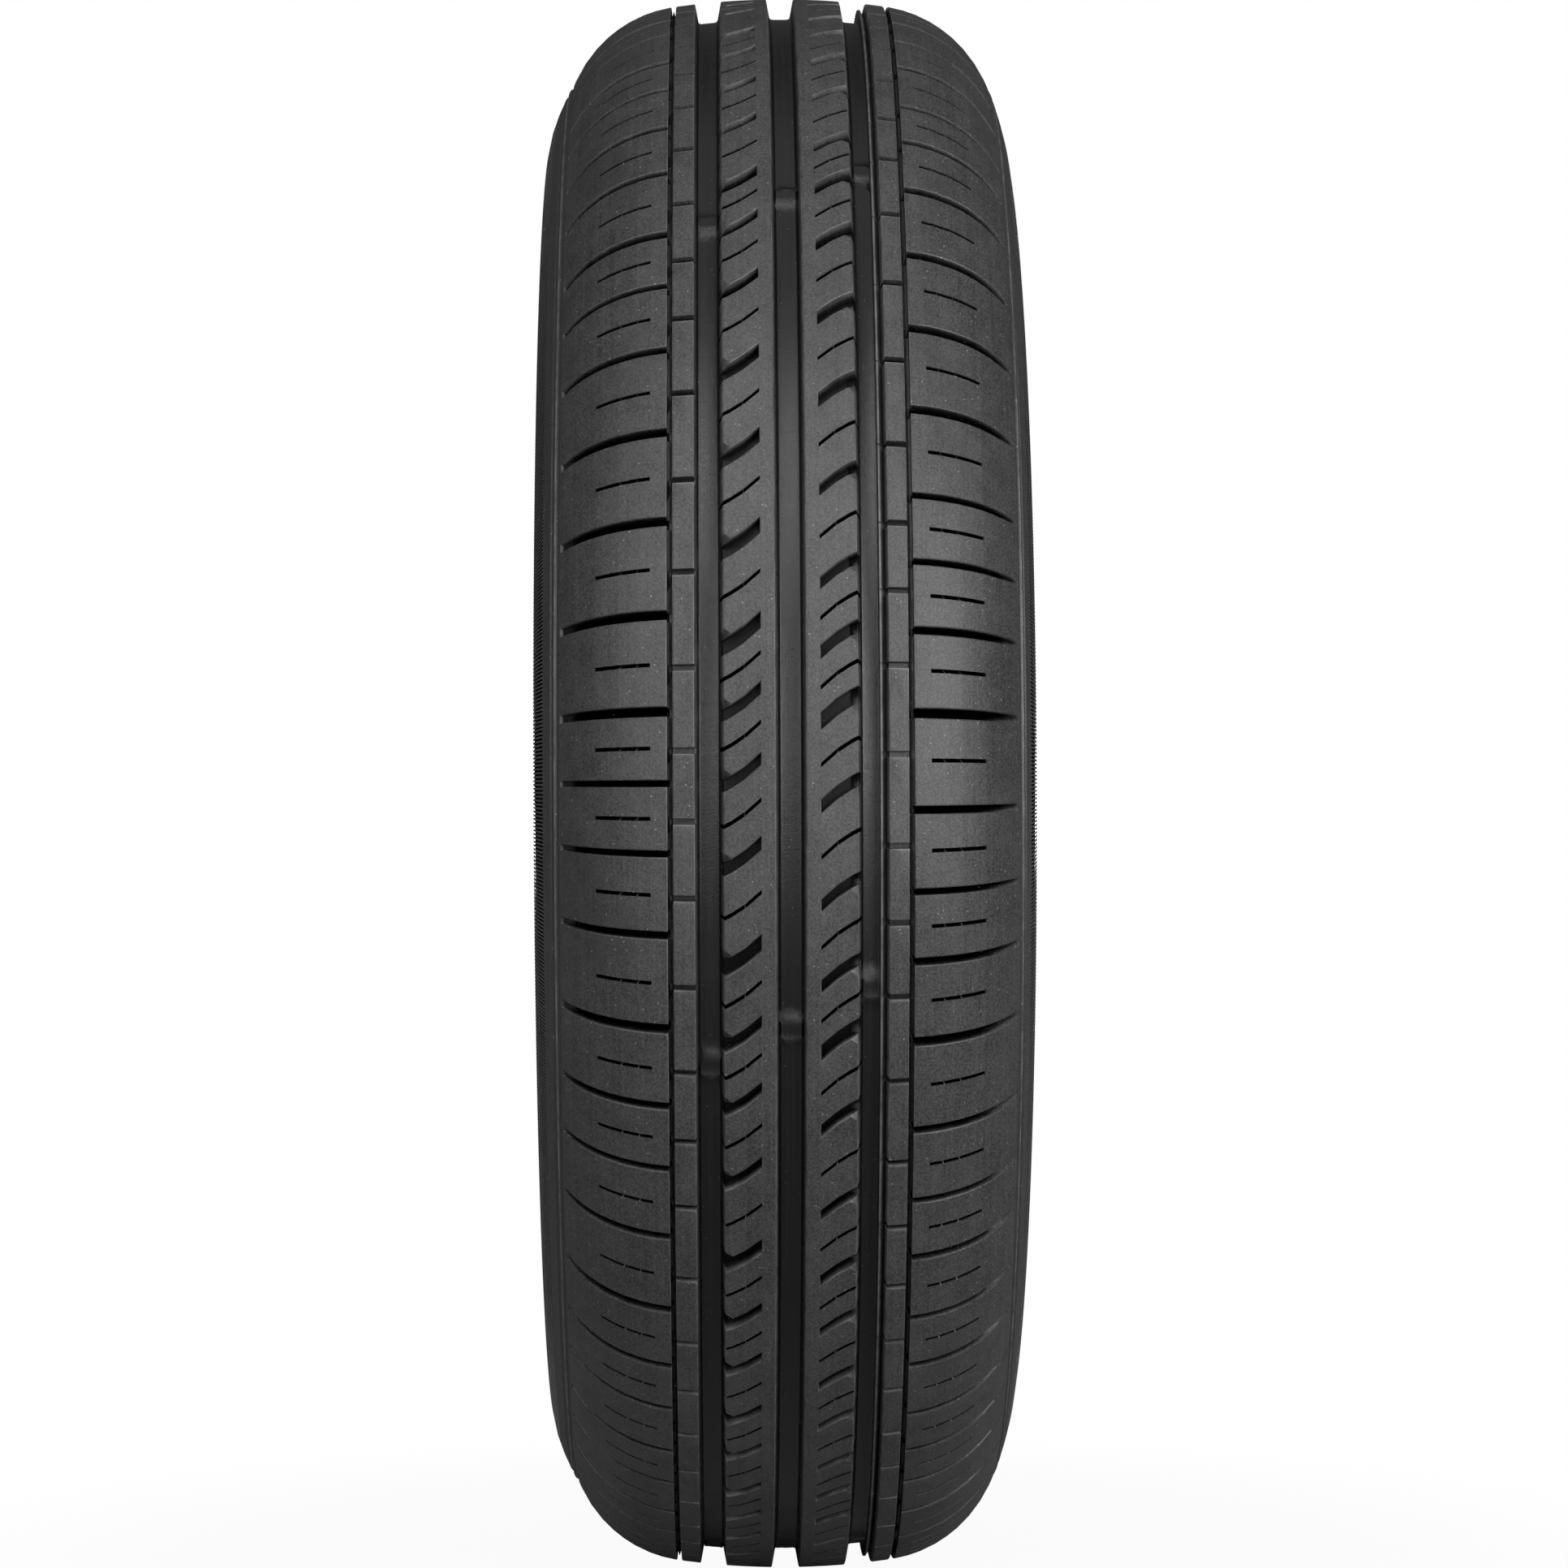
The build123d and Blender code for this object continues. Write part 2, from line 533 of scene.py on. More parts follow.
def half_rows(side, zones, places):
    """Distance along the tread of every row in every column of one half, as rows by columns.

    The last row of a pitch lies halfway to the next cut, but close below the slot on a narrow rib. On a
    centre rib the rows follow the notch's sweep, a parabola in the distance from the equator, and the right
    half is the left one turned end for end. Floors of grooves are filled later."""
    starts, lengths, widths, cut_widths = pitch_table()
    turn = -side
    rows = np.zeros((len(starts), rows_per_pitch, len(places)))

    sweep_place = np.clip(places, notch_end, side_groove_in) - notch_root
    sweep = notch_slope * sweep_place - notch_bend * sweep_place**2
    lip = lip_reach * lip_share(places)
    ends = starts + lengths
    before = starts - np.roll(lengths, 1)
    middles = (ends if turn > 0 else before) - turn * (notch_lag - widths / 2)
    sipes = (middles + next_along(middles)) / 2 - turn * rib_sipe_lag
    half = widths[:, None] / 2
    flat = np.zeros_like(places)[None, :]
    edges = [
        -half - bevel - lip[None, :],
        -half + flat,
        -half + notch_wall_run + flat,
        half - notch_wall_run + flat,
        half + flat,
        half + bevel + flat,
    ]
    rib = np.zeros_like(rows)
    for row, edge in enumerate(edges if turn > 0 else reversed(edges)):
        rib[:, row] = middles[:, None] + turn * (sweep[None, :] + edge)
    slit = np.array(slit_rows)
    slot = np.array(slot_rows)
    rib_slit = (slit * rib_sipe_width)[None, :, None]
    rib[:, across_slit] = (sipes[:, None] + turn * sweep[None, :])[:, None, :] + rib_slit

    cut_share = np.array(cut_rows)
    cut_bevel = np.array(cut_bevel_rows) * bevel
    cut_top = cut_edge - np.roll(cut_widths, 1) if side < 0 else np.full(len(starts), -cut_edge)
    cut_span = np.roll(cut_widths, 1) if side < 0 else cut_widths
    cut = cut_top[:, None] + cut_span[:, None] * cut_share[None, :] + cut_bevel[None, :]
    shoulder = np.zeros_like(rows)
    shoulder[:, across_cut] = (starts[:, None] + cut)[:, :, None]
    shoulder_slit = (slit * shoulder_sipe_width)[None, :, None]
    shoulder[:, across_slit] = (starts + lengths / 2)[:, None, None] + shoulder_slit

    slot_share = left_slot_place if side < 0 else right_slot_place
    narrow = np.zeros_like(rows)
    narrow[:, across_cut] = shoulder[:, across_cut]
    narrow_slot = (slot * slot_width)[None, :, None]
    narrow[:, across_slit] = (starts + slot_share * lengths)[:, None, None] + narrow_slot

    for zone, zone_rows in (("rib", rib), ("narrow rib", narrow), ("shoulder", shoulder)):
        inside = zones == zone
        rows[:, :, inside] = spread_between(zone_rows)[:, :, inside]
        if zone == "narrow rib":
            rows[:, last_row, inside] = rows[:, slit_lower_edge, inside] + slot_edge
    rows = rows.reshape(-1, len(places))
    if side > 0:
        rows = np.vstack([rows[right_row_shift:], rows[:right_row_shift] + round_tread]) + right_shift
    return rows


def cut_rise(places):
    """Share by which a shoulder cut's floor has risen towards its outer end."""
    return np.clip((places - cut_floor_rises) / (right_cut_end - cut_floor_rises), 0, 1)


def half_cuts(side, zones, places):
    """Depth of notches, sipes, slots and cuts in one half, as rows of one pitch by columns."""
    cuts = np.zeros((rows_per_pitch, len(places)))
    rib = zones == "rib"
    in_notch = rib & (places > notch_end)
    at_notch_end = rib & (places == notch_end)
    lip = lip_share(places) * in_notch
    cuts[cut_floor] = notch_depth * in_notch + bevel_drop * at_notch_end
    cuts[upper_edge] = bevel_drop * in_notch
    cuts[lower_edge] = bevel_drop * in_notch
    if side < 0:
        cuts[upper_edge] += left_lip_drop * lip
    else:
        cuts[lower_floor] -= right_lip_rise * lip
        cuts[lower_edge] += right_lip_drop * lip
    cuts[slit_floor] = rib_sipe_depth * in_notch

    narrow = zones == "narrow rib"
    cuts[slit_floor] += slot_depth * narrow
    cuts[slit_lower_edge] += bevel_drop * narrow

    shoulder = zones == "shoulder"
    run_out = cut_rise(places)
    floor = (cut_depth + (cut_run_out - cut_depth) * run_out) * (places < cut_stop)
    tilt = left_cut_tilt if side < 0 else right_cut_tilt
    cuts[cut_floor] += floor * shoulder
    cuts[lower_floor] -= floor * tilt * run_out * shoulder
    cuts[upper_edge] += np.minimum(bevel_drop, floor) * shoulder
    cuts[lower_edge] += np.minimum(bevel_drop, floor) * shoulder
    in_sipe = shoulder & (places >= shoulder_sipe_start) & (places <= shoulder_sipe_end - sipe_end_wall)
    cuts[slit_floor] += shoulder_sipe_depth * in_sipe
    cuts[slit_upper_floor, on_break(places)] = break_foot
    cuts[slit_lower_floor, on_break(places)] = break_sunk
    return cuts


def half_walls(zones, places):
    """Marks the columns on the walls of the grooves that run round the tyre."""
    in_centre = (zones == "rib") & (places < centre_groove)
    in_side = (places > side_groove_in) & (places < side_groove_out)
    in_narrow = (places > narrow_groove_in) & (places < narrow_groove_out)
    return in_centre | in_side | in_narrow


def half_shades(side, zones, places):
    """How many times deeper than its floor a cut, sipe, slot or notch is shaded, as rows by columns.

    On the right the ends of the cuts and the lips of the notches catch the light, so they have less shade.
    Grooves that run round the tyre are shaded by their own depth."""
    shades = np.ones((rows_per_pitch, len(places)))
    rib = zones == "rib"
    shoulder = zones == "shoulder"
    shades[cut_floor, shoulder] = cut_shade
    shades[cut_floor, rib] = notch_shade
    if side > 0:
        shades[lower_floor, shoulder] -= (cut_shade - right_cut_end_shade) * cut_rise(places)[shoulder]
        shades[lower_floor, rib] -= (notch_shade - lip_floor_shade) * lip_share(places)[rib]
        shades[lower_edge, rib] = lip_shade
    shades[slit_floor, zones == "narrow rib"] = slot_shade
    shades[slit_floor, rib | shoulder] = slit_shade
    shades[slit_floor, on_break(places)] = break_shade
    in_groove = np.isin(zones, ("centre floor", "side floor", "narrow floor"))
    shades[:, in_groove | half_walls(zones, places)] = 1.0
    return shades


def half_bridges(side, zones):
    """Height of the bridges on the narrow groove's floor, as rows of one pitch by columns.

    A bridge ties the shoulder to the narrow rib below each slot on the left, and at each cut on the right."""
    heights = np.zeros((rows_per_pitch, len(zones)))
    heights[left_bridge_rows if side < 0 else right_bridge_rows] = bridge_height * (zones == "narrow floor")
    return heights


def even_rows(left, right):
    """Rows spaced evenly within each pitch, halfway between the rows of two neighbouring columns."""
    first = ((left + right) / 2)[::rows_per_pitch]
    share = np.arange(rows_per_pitch) / rows_per_pitch
    return (first[:, None] + (next_along(first) - first)[:, None] * share[None, :]).ravel()


def fill_floor(rows, columns):
    """Gives groove-floor columns even rows, with the outermost ones halfway to the wall beside them."""
    low, high = columns[0] - 1, columns[-1] + 1
    even = even_rows(rows[:, low], rows[:, high])
    rows[:, columns] = even[:, None]
    rows[:, columns[0]] = (even + rows[:, low]) / 2
    rows[:, columns[-1]] = (even + rows[:, high]) / 2


def wear_bars(rows, offset, shift):
    """Height of the wear bars on a groove's floor, and the share of the floor's shade that stays on them.

    A bar is a pad with sloped, rounded ends at each of the even places round the tyre. The half that lies
    further along the tread keeps less of the painted shade, a painted highlight where its end catches light."""
    middle = wear_bar_angle / 360 * round_tread + shift
    spacing = round_tread / wear_bar_count
    along = (rows - middle + spacing / 2) % spacing - spacing / 2
    reach = wear_bar_length / 2
    rounding = wear_bar_rounding * (offset / wear_bar_half_width) ** 2
    pad = 1 - eased(np.abs(along) + rounding[None, :], reach - wear_bar_slope, reach)
    lit_half = pad * eased(along, 0.0, wear_bar_slope)
    return wear_bar_height * pad, 1 - wear_bar_highlight * lit_half


def tread_grid():
    """Rows by columns of the whole tread: distance along and across, depth, depth of painted shade, edge wear
    with painted highlight.

    The two halves are joined at the centre groove's middle, groove floors get even rows and their wear bars,
    and an edge gets wear and a painted highlight where it has sunk by about the drop of a bevel."""
    halves = []
    for side in (-1, 1):
        zones, places, grooves = half_columns(side)
        rows = half_rows(side, zones, places)
        sunk = np.maximum(grooves[None, :], half_cuts(side, zones, places)) - half_bridges(side, zones)
        sunk = np.tile(sunk, (len(pitch_order), 1))
        shades = np.tile(half_shades(side, zones, places), (len(pitch_order), 1))
        if side > 0:
            sunk = np.roll(sunk, -right_row_shift, axis=0)
            shades = np.roll(shades, -right_row_shift, axis=0)
        halves.append((rows, sunk, shades, places, zones))
    left_rows, left_sunk, left_shades, left_places, left_zones = halves[0]
    right_rows, right_sunk, right_shades, right_places, right_zones = halves[1]
    middle_column = np.full((len(left_rows), 1), groove_depth)
    across = np.concatenate([-left_places[::-1], [0.0], right_places])
    zone = np.concatenate([left_zones[::-1], ["centre floor"], right_zones])
    rows = np.hstack([left_rows[:, ::-1], np.zeros_like(middle_column), right_rows])
    depth = np.hstack([left_sunk[:, ::-1], middle_column, right_sunk])
    shade = depth * np.hstack([left_shades[:, ::-1], np.ones_like(middle_column), right_shades])

    side_middle = (side_groove_in + side_groove_out) / 2
    floors = (
        ("centre floor", 0, 0.0, 0.0),
        ("side floor", -1, -side_middle, left_bar_shift),
        ("side floor", 1, side_middle, right_bar_shift),
        ("narrow floor", -1, None, None),
        ("narrow floor", 1, None, None),
    )
    for name, side, middle, shift in floors:
        here = (zone == name) & ((np.sign(across) == side) | (side == 0))
        columns = np.flatnonzero(here)
        if middle is None:
            rows[:, columns] = (rows[:, columns - 1] + rows[:, columns + 1]) / 2
        else:
            fill_floor(rows, columns)
            height, shade_left = wear_bars(rows[:, columns], across[columns] - middle, shift)
            depth[:, columns] -= height
            shade[:, columns] *= shade_left
    # Edges sunk by about a bevel's drop, and the ledge's edges, get wear and a painted highlight, less on the
    # shoulders
    wear_highlight = (depth > wear_highlight_from * bevel_drop) & (depth < wear_highlight_to * bevel_drop)
    wear_highlight = wear_highlight * np.where(np.abs(across) > narrow_groove_out, shoulder_wear_highlight, 1.0)[None, :]
    wear_highlight = np.where(np.isin(across, (ledge_in, ledge_out))[None, :], ledge_wear_highlight, wear_highlight)
    return rows, across, depth, shade, wear_highlight


def smooth_line(points, steps):
    """Points on a smooth line through corners: a cubic on each span, with tangents along its neighbours."""
    points = np.array(points, float)
    padded = np.vstack([2 * points[0] - points[1], points, 2 * points[-1] - points[-2]])
    before, start, end, after = padded[:-3], padded[1:-2], padded[2:-1], padded[3:]
    share = (np.arange(steps) / steps)[None, :, None]
    start, end = start[:, None], end[:, None]
    out = (end - before[:, None]) / 2
    into = (after[:, None] - start) / 2
    line = (
        start
        + out * share
        + (3 * (end - start) - 2 * out - into) * share**2
        + (2 * (start - end) + out + into) * share**3
    )
    return np.vstack([line.reshape(-1, 2), points[-1:]])


def wall_place(radius, reach):
    """Distance of the bare sidewall from the equator at a radius.

    It swells from the tread's edge to its reach at the widest place and narrows to the rim's flange, each by
    a power of the height."""
    edge_radius = outer_radius - shoulder_drop
    up = np.clip((radius - widest_radius) / (edge_radius - widest_radius), 0, 1)
    down = np.clip((widest_radius - radius) / (widest_radius - flange_radius), 0, 1)
    return reach - (reach - tread_edge) * up**sidewall_power - (reach - flange_place) * down**lower_power


def casing_half(reach):
    """Section of the casing from the tread's edge to the liner's middle, as place, radius and three masks.

    The sidewall carries its rings. Below it come the flange's hollow, the heel, the bead's seat, the toe and
    the liner. The masks mark the outer wall, the liner, and the ridge below the tread's edge, which gets the
    wear and painted highlight of edges."""
    height, raised = np.array(wall_rings).T
    radius = outer_radius - shoulder_drop - height
    wall = np.column_stack([np.minimum(wall_place(radius, reach) + raised, reach), radius])
    bead = smooth_line(bead_corners, corner_steps)
    liner = smooth_line(liner_corners, corner_steps)
    section = np.vstack([wall, bead, toe_corners, liner])
    ridge = np.zeros(len(section))
    ridge[: len(wall)] = (raised > ridge_rise) & (height < ridge_below)
    outside = np.arange(len(section)) < len(wall) + len(bead)
    inside = np.arange(len(section)) >= len(section) - len(liner)
    return np.column_stack([section, outside, inside, ridge])


def ring_points(rows, across, radius):
    """Points on the tyre in metres: the distance along the tread is an angle, downwards in front."""
    angle = rows / outer_radius
    across = np.broadcast_to(across, angle.shape)
    return MM * np.stack([radius * np.cos(angle), across, -radius * np.sin(angle)], -1)


def grid_faces(first, rows, columns):
    """Quads of a grid whose rows close round the tyre, numbered from its first vertex."""
    index = first + np.arange(rows * columns).reshape(rows, columns)
    below = np.roll(index, -1, axis=0)
    return np.stack([index[:, :-1], below[:, :-1], below[:, 1:], index[:, 1:]], -1).reshape(-1, 4)


def mark_points(mesh, name, values):
    """Writes one number per vertex, which a material reads by its name."""
    layer = mesh.attributes.new(name, "FLOAT", "POINT")
    layer.data.foreach_set("value", values.astype(np.float32))


def tyre_mesh():
    """The tyre as one closed surface: a fine grid over the tread, a coarser one over the casing, and a strip
    at each edge of the tread whose faces join several tread rows to one casing row.

    Casing rows start at the tread's right edge and shift to the left edge's rows across the liner."""
    rows, across, depth, shade, wear_highlight = tread_grid()
    radius, lean_across, lean_radius = tread_surface(across)
    tread = ring_points(rows, across - depth * lean_across, radius - depth * lean_radius)
    tread[..., 2] = np.maximum(tread[..., 2], tyre_low.z)
    count, columns = rows.shape

    right_half = casing_half(right_reach)
    left_half = casing_half(left_reach)
    left_half[:, 0] *= -1
    section = np.vstack([right_half, left_half[-2::-1]])
    step = rows_per_casing_row
    travel_from = len(right_half) * shift_share
    travel = eased(np.arange(len(section)), travel_from, len(section) - travel_from)
    right_edge = rows[::step, -1][:, None]
    left_edge = rows[::step, 0][:, None]
    casing_rows = right_edge + (left_edge - right_edge) * travel[None, :]
    casing = ring_points(casing_rows, section[:, 0], section[:, 1])

    first = count * columns
    index = np.arange(first).reshape(count, columns)
    casing_index = first + np.arange(casing_rows.size).reshape(casing_rows.shape)
    fan = (np.arange(0, count, step)[:, None] + np.arange(step + 1)[None, :]) % count
    casing_next = np.roll(casing_index, -1, axis=0)
    right_strip = np.column_stack([index[fan, -1], casing_next[:, :1], casing_index[:, :1]])
    left_strip = np.column_stack([index[fan, 0][:, ::-1], casing_index[:, -1:], casing_next[:, -1:]])
    faces = [*grid_faces(0, count, columns).tolist(), *grid_faces(first, *casing_rows.shape).tolist()]
    faces += right_strip.tolist() + left_strip.tolist()

    mesh = bpy.data.meshes.new("tyre_rubber")
    mesh.from_pydata(np.vstack([tread.reshape(-1, 3), casing.reshape(-1, 3)]), [], faces)
    bare = np.zeros(casing_rows.size)
    not_tread = np.zeros(rows.size)
    outside = np.broadcast_to(section[:, 2], casing_rows.shape)
    inside = np.broadcast_to(section[:, 3], casing_rows.shape)
    ridge = np.broadcast_to(section[:, 4], casing_rows.shape)
    # Marks for the material: the depth of painted shade, the wear and painted highlight of edges and of the
    # sidewall's ridge, the outer wall and the liner
    marks = {
        "sunk": (shade, bare),
        "wear_highlight": (wear_highlight, ridge),
        "wall": (not_tread, outside),
        "liner": (not_tread, inside),
    }
    for name, (on_tread, on_casing) in marks.items():
        mark_points(mesh, name, np.concatenate([on_tread.ravel(), on_casing.ravel()]))
    mesh.polygons.foreach_set("use_smooth", np.ones(len(faces), bool))
    mesh.set_sharp_from_angle(angle=math.radians(sharp_angle))
    mesh.validate()
    return mesh


def rib_mesh():
    """Fine radial ribs on both sidewalls: on each a closed ring, sunk in the wall, with a notched outer face.

    Round the ring a rib has a flat land and a groove with sloped sides. Across it the outer face follows the
    bare sidewall, and its ends and back lie under the wall's surface."""
    count = rib_count * len(rib_places)
    share = np.array(rib_places)
    angle = 2 * math.pi / rib_count * (np.arange(rib_count)[:, None] + share[None, :]).ravel()
    grooved = np.tile(rib_grooved, rib_count)
    ring = [
        (rib_top + rib_end_out, rib_end, rib_end),
        (rib_top - rib_end_in, rib_land, rib_groove),
        (rib_upper, rib_land, rib_groove),
        (rib_lower, rib_land, rib_groove),
        (rib_foot + rib_end_in, rib_land, rib_groove),
        (rib_foot - rib_end_out, rib_end, rib_end),
        (rib_foot, rib_back, rib_back),
        (rib_top, rib_back, rib_back),
    ]
    radius, high, low = np.array(ring).T
    raised = high[None, :] + (low - high)[None, :] * grooved[:, None]
    points = []
    faces = []
    index = np.arange(count * len(radius)).reshape(count, len(radius))
    ahead = np.roll(index, -1, axis=0)
    corners = [index, ahead, np.roll(ahead, -1, axis=1), np.roll(index, -1, axis=1)]
    quads = np.stack(corners, -1).reshape(-1, 4)
    for side, reach in ((-1, left_reach), (1, right_reach)):
        place = side * (wall_place(radius, reach)[None, :] + raised)
        rows = angle[:, None] * outer_radius + np.zeros_like(place)
        points.append(ring_points(rows, place, radius[None, :]).reshape(-1, 3))
        faces.append((quads if side > 0 else quads[:, ::-1]) + len(faces) * index.size)
    mesh = bpy.data.meshes.new("sidewall_ribs")
    mesh.from_pydata(np.vstack(points), [], np.vstack(faces).tolist())
    # The ribs' grooves carry a deep painted shade, and every rib some wear and painted highlight
    sunk = np.where(raised < (rib_land + rib_groove) / 2, rib_shade, 0.0).ravel()
    mark_points(mesh, "sunk", np.concatenate([sunk, sunk]))
    for name, value in (("wear_highlight", rib_wear_highlight), ("wall", 0.0), ("liner", 0.0)):
        mark_points(mesh, name, np.full(2 * index.size, value))
    mesh.polygons.foreach_set("use_smooth", np.zeros(2 * len(quads), bool))
    mesh.validate()
    return mesh


def new_object(name, data):
    """An object in the scene that carries this mesh, light or camera."""
    item = bpy.data.objects.new(name, data)
    bpy.context.collection.objects.link(item)
    return item


class Shading:
    """Short forms for adding nodes to a material or a world, whose own nodes are cleared first."""

    def __init__(self, owner):
        owner.use_nodes = True
        self.tree = owner.node_tree
        self.tree.nodes.clear()

    def add(self, kind, settings=None, **inputs):
        """A node with its settings and inputs, in whose names an underscore stands for a space."""
        node = self.tree.nodes.new(kind)
        for name, value in (settings or {}).items():
            setattr(node, name, value)
        for name, value in inputs.items():
            self.put(node.inputs[name.replace("_", " ")], value)
        return node

    def put(self, socket, value):
        """Links another node's output to a socket, or sets a plain value on it."""
        if isinstance(value, bpy.types.NodeSocket):
            self.tree.links.new(value, socket)
        else:
            socket.default_value = value

    def math(self, operation, first, second=0.0, third=0.0, clamp=False):
        """One step of arithmetic."""
        node = self.tree.nodes.new("ShaderNodeMath")
        node.operation = operation
        node.use_clamp = clamp
        for socket, value in zip(node.inputs, (first, second, third)):
            self.put(socket, value)
        return node.outputs[0]

    def ramp(self, value, low, high, start=0.0, end=1.0):
        """Goes smoothly from start at low to end at high."""
        settings = {"interpolation_type": "SMOOTHSTEP"}
        span = {"Value": value, "From_Min": low, "From_Max": high, "To_Min": start, "To_Max": end}
        return self.add("ShaderNodeMapRange", settings, **span).outputs["Result"]

    def blend(self, share, first, second):
        """The first colour, turned into the second by a share."""
        node = self.add("ShaderNodeMix", {"data_type": "RGBA"})
        for name, value in (("Factor_Float", share), ("A_Color", first), ("B_Color", second)):
            socket = next(s for s in node.inputs if s.identifier == name)
            self.put(socket, value)
        return next(s for s in node.outputs if s.identifier == "Result_Color")

    def noise(self, vector, scale, detail=2.0, roughness=0.5):
        """An uneven pattern between 0 and 1."""
        pattern = {"Vector": vector, "Scale": scale, "Detail": detail, "Roughness": roughness}
        return self.add("ShaderNodeTexNoise", **pattern).outputs["Fac"]

    def mark(self, name):
        """The number of this name that the mesh carries at each vertex."""
        return self.add("ShaderNodeAttribute", {"attribute_name": name}).outputs["Fac"]

    def mix(self, share, first, second):
        """The first shader, turned into the second by a share."""
        node = self.add("ShaderNodeMixShader", Fac=share)
        self.put(node.inputs[1], first.outputs[0])
        self.put(node.inputs[2], second.outputs[0])
        return node

    def show(self, kind, shader):
        """Puts a shader on the surface."""
        self.add(kind, Surface=shader.outputs[0])


def rubber_material():
    """Matt black rubber with fine grain, mould streaks round the tread, smudges, dust, painted shade in
    grooves and slits, and wear with a painted highlight on edges.
    """
    material = bpy.data.materials.new("tyre_rubber")
    make = Shading(material)
    place = make.add("ShaderNodeTexCoord").outputs["Object"]
    parts = make.add("ShaderNodeSeparateXYZ", Vector=place).outputs
    squares = [make.math("POWER", parts[axis], 2.0) for axis in (0, 2)]
    radius = make.math("SQRT", make.math("ADD", *squares))
    round_x = make.math("DIVIDE", parts[0], radius)
    round_z = make.math("DIVIDE", parts[2], radius)
    across = make.math("ABSOLUTE", parts[1])
    # Depth of painted shade at each vertex, many times the true depth in slits, cuts and notches
    sunk = make.mark("sunk")

    streak_place = make.add(
        "ShaderNodeCombineXYZ",
        X=make.math("MULTIPLY", round_x, streaks_round),
        Y=make.math("MULTIPLY", parts[1], streaks_across),
        Z=make.math("MULTIPLY", round_z, streaks_round),
    ).outputs[0]
    streaks = make.noise(streak_place, 1.0, detail=3.0, roughness=0.6)
    grain = make.ramp(make.noise(place, grain_scale, detail=4.0, roughness=0.75), *grain_range)
    clouds = make.noise(place, cloud_scale, detail=4.0, roughness=0.6)
    patches = make.noise(place, patch_scale, detail=4.0, roughness=0.55)

    # Plain rubber, then the smoother sidewalls and liner, and dark smudges on the shoulders
    tone = make.math("MULTIPLY_ADD", streaks, streak_share, make.math("MULTIPLY", grain, grain_share))
    tone = make.math("MULTIPLY_ADD", clouds, cloud_share, tone)
    tone = make.math("MULTIPLY_ADD", patches, patch_share, tone)
    tone = make.math("SUBTRACT", tone, tone_base, clamp=True)
    colour = make.blend(tone, rubber_dark, rubber_light)
    colour = make.blend(make.math("MULTIPLY", make.mark("wall"), wall_share), colour, wall_colour)
    colour = make.blend(make.math("MULTIPLY", make.mark("liner"), liner_paint), colour, liner_colour)
    smudge = make.math("MULTIPLY", make.ramp(across, *smudge_places), make.ramp(patches, *smudge_range))
    colour = make.blend(make.math("MULTIPLY", smudge, smudge_share), colour, smudge_colour)

    # Painted shade: grooves are darker with their depth, and slits are black
    deep_shade = make.ramp(sunk, *deep_shade_range)
    groove = make.blend(make.ramp(streaks, *groove_streaks), groove_shade_dark, groove_shade_light)
    colour = make.blend(deep_shade, colour, groove)
    black = make.ramp(sunk, *black_shade_range)
    colour = make.blend(black, colour, slit_shade_black)

    # Specks of dust in a few cells of a pattern, and edges with wear and a painted highlight
    cells = make.add("ShaderNodeTexVoronoi", Vector=place, Scale=dust_scale)
    chance = make.add("ShaderNodeSeparateColor", Color=cells.outputs["Color"]).outputs[0]
    speck = make.ramp(cells.outputs["Distance"], *dust_edge)
    speck = make.math("MULTIPLY", speck, make.ramp(chance, *dust_chance))
    speck = make.math("MULTIPLY", speck, make.math("MULTIPLY_ADD", deep_shade, -dust_lost_deep, dust_share))
    colour = make.blend(speck, colour, dust_colour)
    edge = make.math("POWER", make.mark("wear_highlight"), edge_falloff)
    wear_highlight_noise = make.ramp(make.noise(place, wear_highlight_scale, detail=3.0), *wear_highlight_range)
    colour = make.blend(make.math("MULTIPLY", edge, wear_highlight_noise), colour, wear_highlight_colour)

    gloss = make.math("MULTIPLY", make.math("ADD", streaks, clouds), gloss_share)
    gloss_part = make.math("MULTIPLY_ADD", deep_shade, deep_gloss_reach, gloss_reach)
    roughness = make.math("MULTIPLY_ADD", gloss, gloss_part, base_roughness)
    roughness = make.math("MULTIPLY_ADD", deep_shade, -deep_smoothness, roughness)
    relief = make.math("MULTIPLY_ADD", streaks, relief_streaks, make.math("MULTIPLY", grain, relief_grain))
    bump = make.add("ShaderNodeBump", Strength=bump_strength, Distance=bump_height, Height=relief)

    finish = {"Base Color": colour, "Roughness": roughness, "Normal": bump.outputs[0]}
    # Where the painted shade is black the specular is taken away too
    finish["Specular IOR Level"] = make.math("MULTIPLY_ADD", black, -plain_specular, plain_specular)
    shader = make.add("ShaderNodeBsdfPrincipled", **finish)
    make.show("ShaderNodeOutputMaterial", shader)
    return material


def pale_floor():
    """A pale floor under the tyre, which the camera sees fade to white away from it."""
    mesh = bpy.data.meshes.new("floor")
    corners = np.array([(-1, -1), (1, -1), (1, 1), (-1, 1)]) * floor_reach
    mesh.from_pydata(np.column_stack([corners, np.full(4, tyre_low.z)]), [], [(0, 1, 2, 3)])
    floor = new_object("floor", mesh)
    material = bpy.data.materials.new("floor")
    make = Shading(material)
    rays = make.add("ShaderNodeLightPath").outputs
    place = make.add("ShaderNodeTexCoord").outputs["Object"]
    away = make.add("ShaderNodeVectorMath", {"operation": "LENGTH"}, Vector=place).outputs["Value"]
    in_mirror = make.math("MAXIMUM", rays["Is Glossy Ray"], rays["Is Transmission Ray"])
    in_mirror = make.math("MULTIPLY", in_mirror, make.ramp(away, *mirror_range))
    in_view = make.math("MULTIPLY", rays["Is Camera Ray"], make.ramp(away, *white_range, near_white, 1.0))
    paint = make.add("ShaderNodeBsdfDiffuse", Color=floor_paint)
    glow = make.add("ShaderNodeEmission", Color=white, Strength=1.0)
    make.show("ShaderNodeOutputMaterial", make.mix(make.math("MAXIMUM", in_view, in_mirror), paint, glow))
    mesh.materials.append(material)


